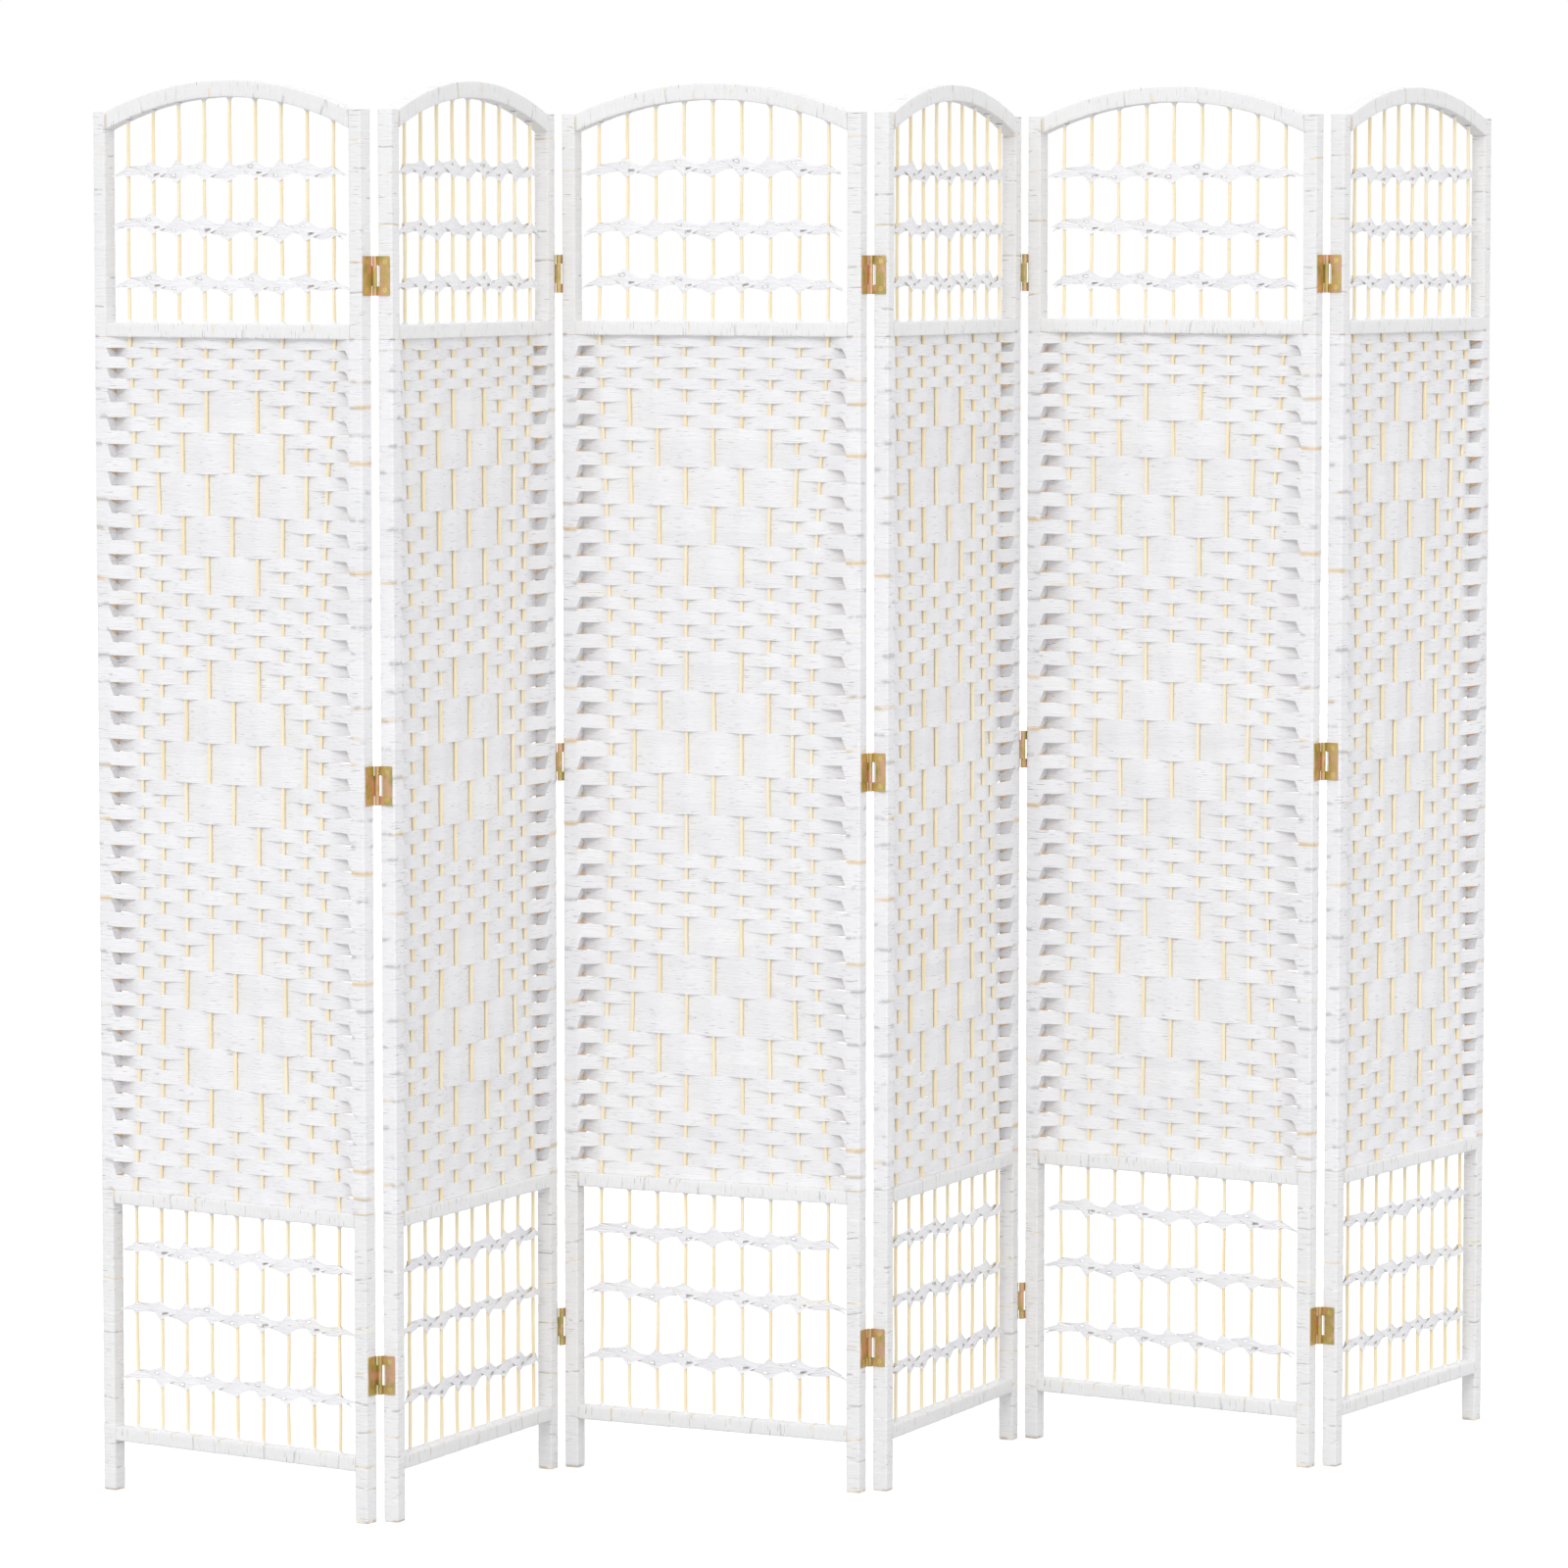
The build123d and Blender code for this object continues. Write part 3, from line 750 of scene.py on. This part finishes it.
def paper(name, crease, slit, slit_level, seam_shade_amount, seam_cream, white, shade):
    """White wrapping paper: uneven tone and faint cream stains, with painted shade in its fine creases and
    slits, along marked seams and round hole rims.

    crease and slit are noise scales along x, y and z; a higher slit_level leaves fewer slits.
    """
    shader = Shader(name, Roughness=0.72)
    shader.main.inputs["Specular IOR Level"].default_value = 0.25
    tone = shader.fit(shader.mark("tone"), -3.0, 3.0)
    cloud = shader.noise((9, 9, 22), 3.0)
    both = shader.math("ADD", shader.math("MULTIPLY", tone, 0.5), shader.math("MULTIPLY", cloud, 0.5))
    colour = shader.mix(shader.fit(both, 0.3, 0.7), linear(*shade), linear(*white))
    stain = shader.fit(shader.noise((4, 4, 55), 2.0), 0.66, 0.76, 0.0, 0.35)
    colour = shader.mix(stain, colour, linear(*paper_cream))
    # Painted shade of fine creases: up to a tenth of crease grey where the fibre noise is low
    fibre = shader.noise([value * 2.2 for value in crease], 4.0, 0.6)
    colour = shader.mix(shader.fit(fibre, 0.35, 0.62, 0.10, 0.0), colour, linear(*paper_crease_shade))
    # Painted shade seen in fine slits, in patches
    slit_shade = shader.fit(shader.noise(slit, 2.0, 0.4), slit_level, slit_level + 0.03)
    patches = shader.fit(shader.noise((30, 30, 70), 1.0), 0.42, 0.55)
    slit_shade = shader.math("MULTIPLY", slit_shade, shader.math("MULTIPLY", patches, 0.8))
    colour = shader.mix(slit_shade, colour, linear(*paper_painted_shade))
    # Painted shade along marked seams, the strip edges on the posts and the overlapping edges of winding
    # turns, in grey patches
    edge = shader.fit(shader.mark("seam"), 0.55, 1.0)
    seam_shade = shader.fit(shader.noise((45, 45, 45), 2.0), 0.5, 0.6, 0.0, seam_shade_amount)
    colour = shader.mix(shader.math("MULTIPLY", edge, seam_shade), colour, linear(*paper_painted_shade))
    # Painted shadow round the rims of holes
    rim = shader.fit(shader.mark("seam"), 1.3, 2.0, 0.0, 0.6)
    colour = shader.mix(rim, colour, linear(*paper_painted_shade))
    cream = shader.fit(shader.noise((11, 11, 33), 1.0), 0.56, 0.64, 0.0, seam_cream)
    colour = shader.mix(shader.math("MULTIPLY", edge, cream), colour, linear(*seam_yellow))
    shader.plug(shader.main.inputs["Base Color"], colour)
    shader.plug(shader.main.inputs["Roughness"], shader.fit(fibre, 0.3, 0.7, 0.62, 0.82))
    folds = shader.bump(shader.noise(crease, 3.0, 0.55), 0.0011)
    shader.plug(shader.main.inputs["Normal"], shader.bump(fibre, 0.00035, 1.0, folds))
    return shader.material


def wood(name, light, dark, stretch, roughness):
    """Pale wood with grain along z and darker pores."""
    shader = Shader(name, Roughness=roughness)
    shader.main.inputs["Specular IOR Level"].default_value = 0.35
    grain = shader.noise((stretch, stretch, stretch / 28), 5.0, 0.6)
    tone = shader.fit(shader.noise((5, 5, 2), 2.0), 0.3, 0.7, -0.2, 0.2)
    share = shader.math("ADD", shader.fit(grain, 0.35, 0.7), tone)
    colour = shader.mix(share, linear(*light), linear(*dark))
    shader.plug(shader.main.inputs["Base Color"], colour)
    polish = shader.fit(grain, 0.3, 0.7, roughness - 0.1, roughness + 0.1)
    shader.plug(shader.main.inputs["Roughness"], polish)
    shader.plug(shader.main.inputs["Normal"], shader.bump(grain, 0.0004))
    return shader.material


def plated(name, roughness, gold, olive, copper):
    """Yellow zinc plating: gold with olive and copper clouds, fine scratches and worn spots."""
    shader = Shader(name, Metallic=0.9, Roughness=roughness)
    cloud = shader.fit(shader.noise((55, 55, 38), 3.0), 0.36, 0.64)
    other = shader.fit(shader.noise((90, 90, 60), 2.0), 0.45, 0.62)
    colour = shader.mix(cloud, linear(*gold), linear(*olive))
    colour = shader.mix(other, colour, linear(*copper))
    scratch = shader.noise((900, 900, 90), 3.0)
    colour = shader.mix(shader.fit(scratch, 0.62, 0.72, 0.0, 0.35), colour, linear(*plating_worn))
    shader.plug(shader.main.inputs["Base Color"], colour)
    polish = shader.fit(scratch, 0.3, 0.7, roughness - 0.1, roughness + 0.14)
    shader.plug(shader.main.inputs["Roughness"], polish)
    shader.plug(shader.main.inputs["Normal"], shader.bump(scratch, 0.00012))
    return shader.material


# Colours as they show, 0 to 255
paper_white = (245, 245, 247)
paper_shade = (238, 238, 241)
wound_white = (242, 242, 243)
wound_shade = (236, 236, 237)
band_white = (247, 247, 249)
band_shade = (238, 238, 242)
paper_cream = (247, 241, 219)
# Painted shade: grey of fine creases, and darker grey of slits, seams and hole rims
paper_crease_shade = (216, 216, 220)
paper_painted_shade = (150, 148, 148)
seam_yellow = (236, 204, 140)
stick_light = (254, 242, 212)
stick_dark = (247, 226, 180)
frame_light = (252, 228, 194)
frame_dark = (240, 202, 156)
plating_gold = (216, 188, 120)
plating_olive = (182, 170, 104)
plating_copper = (224, 182, 150)
plating_worn = (236, 226, 190)
screw_gold = (236, 214, 140)

strip_paper = paper("strip_paper", crease=(32, 32, 520), slit=(55, 55, 1500), slit_level=0.66,
                    seam_shade_amount=0.5, seam_cream=0.75, white=paper_white, shade=paper_shade)
post_paper = paper("post_paper", crease=(32, 32, 420), slit=(40, 40, 900), slit_level=0.67,
                   seam_shade_amount=0.7, seam_cream=0.6, white=wound_white, shade=wound_shade)
bar_paper = paper("bar_paper", crease=(420, 32, 32), slit=(900, 40, 40), slit_level=0.67,
                  seam_shade_amount=0.45, seam_cream=0.5, white=wound_white, shade=wound_shade)
band_paper = paper("band_paper", crease=(60, 60, 380), slit=(90, 90, 900), slit_level=0.72,
                   seam_shade_amount=0.35, seam_cream=0.0, white=band_white, shade=band_shade)
stick_wood = wood("stick_wood", stick_light, stick_dark, stretch=420, roughness=0.55)
frame_wood = wood("frame_wood", frame_light, frame_dark, stretch=300, roughness=0.6)
plated_leaf = plated("plated_leaf", 0.33, plating_gold, plating_olive, plating_copper)
plated_screw = plated("plated_screw", 0.26, screw_gold, plating_gold, screw_gold)
pin_steel = plated("pin_steel", 0.22, screw_gold, plating_gold, plating_worn)


# The screen

seed = 4100
leaf_edge = 0.25
soft_angle = 40


def show(tubes, name, material, place, panel, nodes):
    """Put a made piece in its panel's place, riding on the panel and standing for CAD nodes."""
    piece = bpy.data.objects.new(name, tubes.mesh(name))
    piece.data.materials.append(material)
    bpy.context.scene.collection.objects.link(piece)
    piece.matrix_world = place
    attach(piece, f"panel_{panel}")
    if nodes:
        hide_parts(*nodes)


def soften(node, width):
    """Rounded edges that catch the light on a CAD piece."""
    bevel = node.modifiers.new("soft_edges", "BEVEL")
    bevel.width = width * mm
    bevel.segments = 2
    bevel.limit_method = "ANGLE"
    bevel.angle_limit = math.radians(soft_angle)


for panel in range(1, len(panel_turns) + 1):
    random = np.random.default_rng(seed + panel)
    place = panel_place(panel)
    show(make_weave(panel, random), f"woven_strips_{panel}", strip_paper, place, panel,
         [f"weave_{panel}"])
    show(make_bands(panel, random), f"twined_bands_{panel}", band_paper, place, panel,
         [f"bands_{panel}"])
    show(make_sticks(random), f"round_sticks_{panel}", stick_wood, place, panel,
         [f"sticks_{panel}"])
    show(post_winding(random), f"post_winding_{panel}", post_paper, place, panel,
         [f"wraps_{panel}"])
    show(bar_winding(random), f"bar_winding_{panel}", bar_paper, place, panel,
         [f"wraps_{panel}"])

for name, node in frame["nodes"].items():
    material = frame_wood
    if name.startswith("hinge_leaves"):
        material = plated_leaf
        soften(node, leaf_edge)
    elif name.startswith("hinge_screws"):
        material = plated_screw
    elif name.startswith("hinge_pins"):
        material = pin_steel
    node.data.materials.clear()
    node.data.materials.append(material)


# Studio

camera_place = Vector((-2.3191, -7.9038, 1.5259))
camera_azimuth = -15.855
camera_fall = 4.709
focal_pixels = 6923.6
image_pixels = 1600

camera = bpy.data.objects.new("camera", bpy.data.cameras.new("camera"))
bpy.context.scene.collection.objects.link(camera)
camera.location = camera_place
camera.rotation_euler = (math.radians(90 - camera_fall), 0, math.radians(camera_azimuth))
camera.data.sensor_width = 36
camera.data.lens = focal_pixels / image_pixels * camera.data.sensor_width
camera.data.clip_end = 100
bpy.context.scene.camera = camera

floor_size = 40.0
floor_grey = (205, 205, 205)
floor_glow = 0.5
floor_mesh = bpy.data.meshes.new("floor")
half = floor_size / 2
floor_corners = [(-half, -half, 0), (half, -half, 0), (half, half, 0), (-half, half, 0)]
floor_mesh.from_pydata(floor_corners, [], [(0, 1, 2, 3)])
floor = bpy.data.objects.new("floor", floor_mesh)
bpy.context.scene.collection.objects.link(floor)
floor_shader = Shader("floor", Roughness=0.9)
floor_shader.main.inputs["Base Color"].default_value = linear(*floor_grey)
floor_shader.main.inputs["Emission Color"].default_value = (1, 1, 1, 1)
floor_seen = floor_shader.node("ShaderNodeLightPath").outputs["Is Camera Ray"]
floor_light = floor_shader.math("MULTIPLY", floor_seen, floor_glow)
floor_shader.plug(floor_shader.main.inputs["Emission Strength"], floor_light)
floor_shader.main.inputs["Specular IOR Level"].default_value = 0.0
floor_mesh.materials.append(floor_shader.material)

world = bpy.data.worlds.new("studio")
bpy.context.scene.world = world
world.use_nodes = True
tree = world.node_tree
background = tree.nodes["Background"]
background.inputs["Color"].default_value = (1, 1, 1, 1)
path = tree.nodes.new("ShaderNodeLightPath")
seen = path.outputs["Is Camera Ray"]
for kind in ("Is Glossy Ray", "Is Transmission Ray"):
    most = tree.nodes.new("ShaderNodeMath")
    most.operation = "MAXIMUM"
    tree.links.new(seen, most.inputs[0])
    tree.links.new(path.outputs[kind], most.inputs[1])
    seen = most.outputs[0]
ambient = 0.88
level = tree.nodes.new("ShaderNodeMapRange")
level.inputs["To Min"].default_value = ambient
level.inputs["To Max"].default_value = 1.0
tree.links.new(seen, level.inputs["Value"])
tree.links.new(level.outputs["Result"], background.inputs["Strength"])


def sun(name, azimuth, elevation, strength, spread):
    """Soft far lamp. Azimuth 0 is in front of the object and -90 at its left."""
    lamp = bpy.data.objects.new(name, bpy.data.lights.new(name, "SUN"))
    bpy.context.scene.collection.objects.link(lamp)
    lamp.data.energy = strength
    lamp.data.angle = math.radians(spread)
    turn, rise = math.radians(azimuth), math.radians(elevation)
    back = Vector((math.sin(turn) * math.cos(rise), -math.cos(turn) * math.cos(rise), math.sin(rise)))
    lamp.rotation_euler = back.to_track_quat("Z", "Y").to_euler()


sun("key", -38, 30, 0.85, 25)
sun("fill", 35, 20, 0.4, 50)
sun("back", 170, 40, 0.4, 60)

bpy.context.scene.view_settings.view_transform = "Standard"

bpy.context.view_layer.update()
